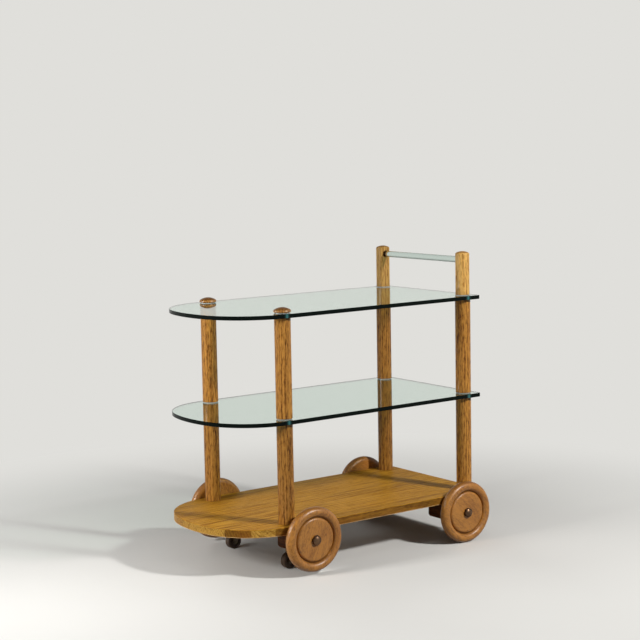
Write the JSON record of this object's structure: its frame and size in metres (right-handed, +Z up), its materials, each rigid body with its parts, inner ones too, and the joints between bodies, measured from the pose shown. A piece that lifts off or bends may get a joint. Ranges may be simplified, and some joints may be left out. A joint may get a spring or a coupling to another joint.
{
  "type": "bar cart",
  "caption": "Rolling bar cart: round oak posts clamp glass shelves over a bow-fronted wooden board on turned wheels, with a clear rod handle and small front casters.",
  "frame": {"origin": "on the floor, under the middle of the cart", "axes": "+X along the cart to the handle end, +Y to the right of someone who pushes it, +Z up"},
  "size_m": [0.7519, 0.4526, 0.7205],
  "materials": {
    "oak_post": "golden oak with dark pores, satin lacquer",
    "oak_wheel": "turned tan oak, glossy lacquer",
    "oak_block": "dark stained oak",
    "base_veneer": "golden veneer with grain along the cart, satin lacquer",
    "base_core": "bare core strips at the edge, clear lacquer",
    "shelf_glass": "clear green-tinted float glass with polished edges",
    "clear_washer": "clear soft plastic",
    "handle_clear": "clear polished acrylic",
    "zinc_steel": "zinc plated",
    "bronze_metal": "dark bronze, polished dome",
    "caster_steel": "pressed steel, dulled plating",
    "caster_tread": "black moulded tread"
  },
  "bodies": {
    "cart": {"axle_block_front_left": "oak_block", "axle_block_front_right": "oak_block", "axle_block_rear_left": "oak_block", "axle_block_rear_right": "oak_block", "axle_bolt_front_left": "bronze_metal", "axle_bolt_front_right": "bronze_metal", "axle_bolt_rear_left": "bronze_metal", "axle_bolt_rear_right": "bronze_metal", "base_bottom_veneer": "base_veneer", "base_core": "base_core", "base_top_veneer": "base_veneer", "block_screws": "zinc_steel", "caster_kingpin_left": "caster_steel", "caster_kingpin_right": "caster_steel", "caster_plate_left": "caster_steel", "caster_plate_right": "caster_steel", "caster_screws": "zinc_steel", "handle_post_left": "oak_post", "handle_post_right": "oak_post", "handle_rod": "handle_clear", "lower_glass_shelf": "shelf_glass", "lower_post_front_left": "oak_post", "lower_post_front_right": "oak_post", "lower_post_rear_left": "oak_post", "lower_post_rear_right": "oak_post", "lower_shelf_washers": "clear_washer", "middle_post_front_left": "oak_post", "middle_post_front_right": "oak_post", "middle_post_rear_left": "oak_post", "middle_post_rear_right": "oak_post", "post_cap_left": "oak_post", "post_cap_right": "oak_post", "tie_rod_front_left": "zinc_steel", "tie_rod_front_right": "zinc_steel", "tie_rod_nuts": "zinc_steel", "tie_rod_rear_left": "zinc_steel", "tie_rod_rear_right": "zinc_steel", "tie_rod_washers": "zinc_steel", "upper_glass_shelf": "shelf_glass", "upper_shelf_washers": "clear_washer", "wheel_spacers": "bronze_metal"},
    "caster_swivel_left": {"caster_axle_left": "caster_steel", "caster_fork_left": "caster_steel"},
    "caster_swivel_right": {"caster_axle_right": "caster_steel", "caster_fork_right": "caster_steel"},
    "caster_roller_left": {"caster_wheel_left": "caster_tread"},
    "caster_roller_right": {"caster_wheel_right": "caster_tread"},
    "rolling_wheel_front_left": {"wheel_front_left": "oak_wheel"},
    "rolling_wheel_front_right": {"wheel_front_right": "oak_wheel"},
    "rolling_wheel_rear_left": {"wheel_rear_left": "oak_wheel"},
    "rolling_wheel_rear_right": {"wheel_rear_right": "oak_wheel"}
  },
  "joints": [
    {"name": "wheel_spin_front_left", "type": "hinge", "parent": "cart", "child": "rolling_wheel_front_left", "pos_m": [-0.1699, -0.207, 0.0848], "axis": [0, 1, 0], "continuous": true},
    {"name": "wheel_spin_front_right", "type": "hinge", "parent": "cart", "child": "rolling_wheel_front_right", "pos_m": [-0.1699, 0.207, 0.0848], "axis": [0, 1, 0], "continuous": true},
    {"name": "wheel_spin_rear_left", "type": "hinge", "parent": "cart", "child": "rolling_wheel_rear_left", "pos_m": [0.2963, -0.207, 0.0762], "axis": [0, 1, 0], "continuous": true},
    {"name": "wheel_spin_rear_right", "type": "hinge", "parent": "cart", "child": "rolling_wheel_rear_right", "pos_m": [0.2963, 0.207, 0.0762], "axis": [0, 1, 0], "continuous": true},
    {"name": "caster_turn_left", "type": "hinge", "parent": "cart", "child": "caster_swivel_left", "pos_m": [-0.1699, -0.119, 0.043], "axis": [0, 0, 1], "continuous": true},
    {"name": "caster_roll_left", "type": "hinge", "parent": "caster_swivel_left", "child": "caster_roller_left", "pos_m": [-0.1799, -0.119, 0.01905], "axis": [0, 1, 0], "continuous": true},
    {"name": "caster_turn_right", "type": "hinge", "parent": "cart", "child": "caster_swivel_right", "pos_m": [-0.1699, 0.119, 0.043], "axis": [0, 0, 1], "continuous": true},
    {"name": "caster_roll_right", "type": "hinge", "parent": "caster_swivel_right", "child": "caster_roller_right", "pos_m": [-0.1799, 0.119, 0.01905], "axis": [0, 1, 0], "continuous": true}
  ]
}
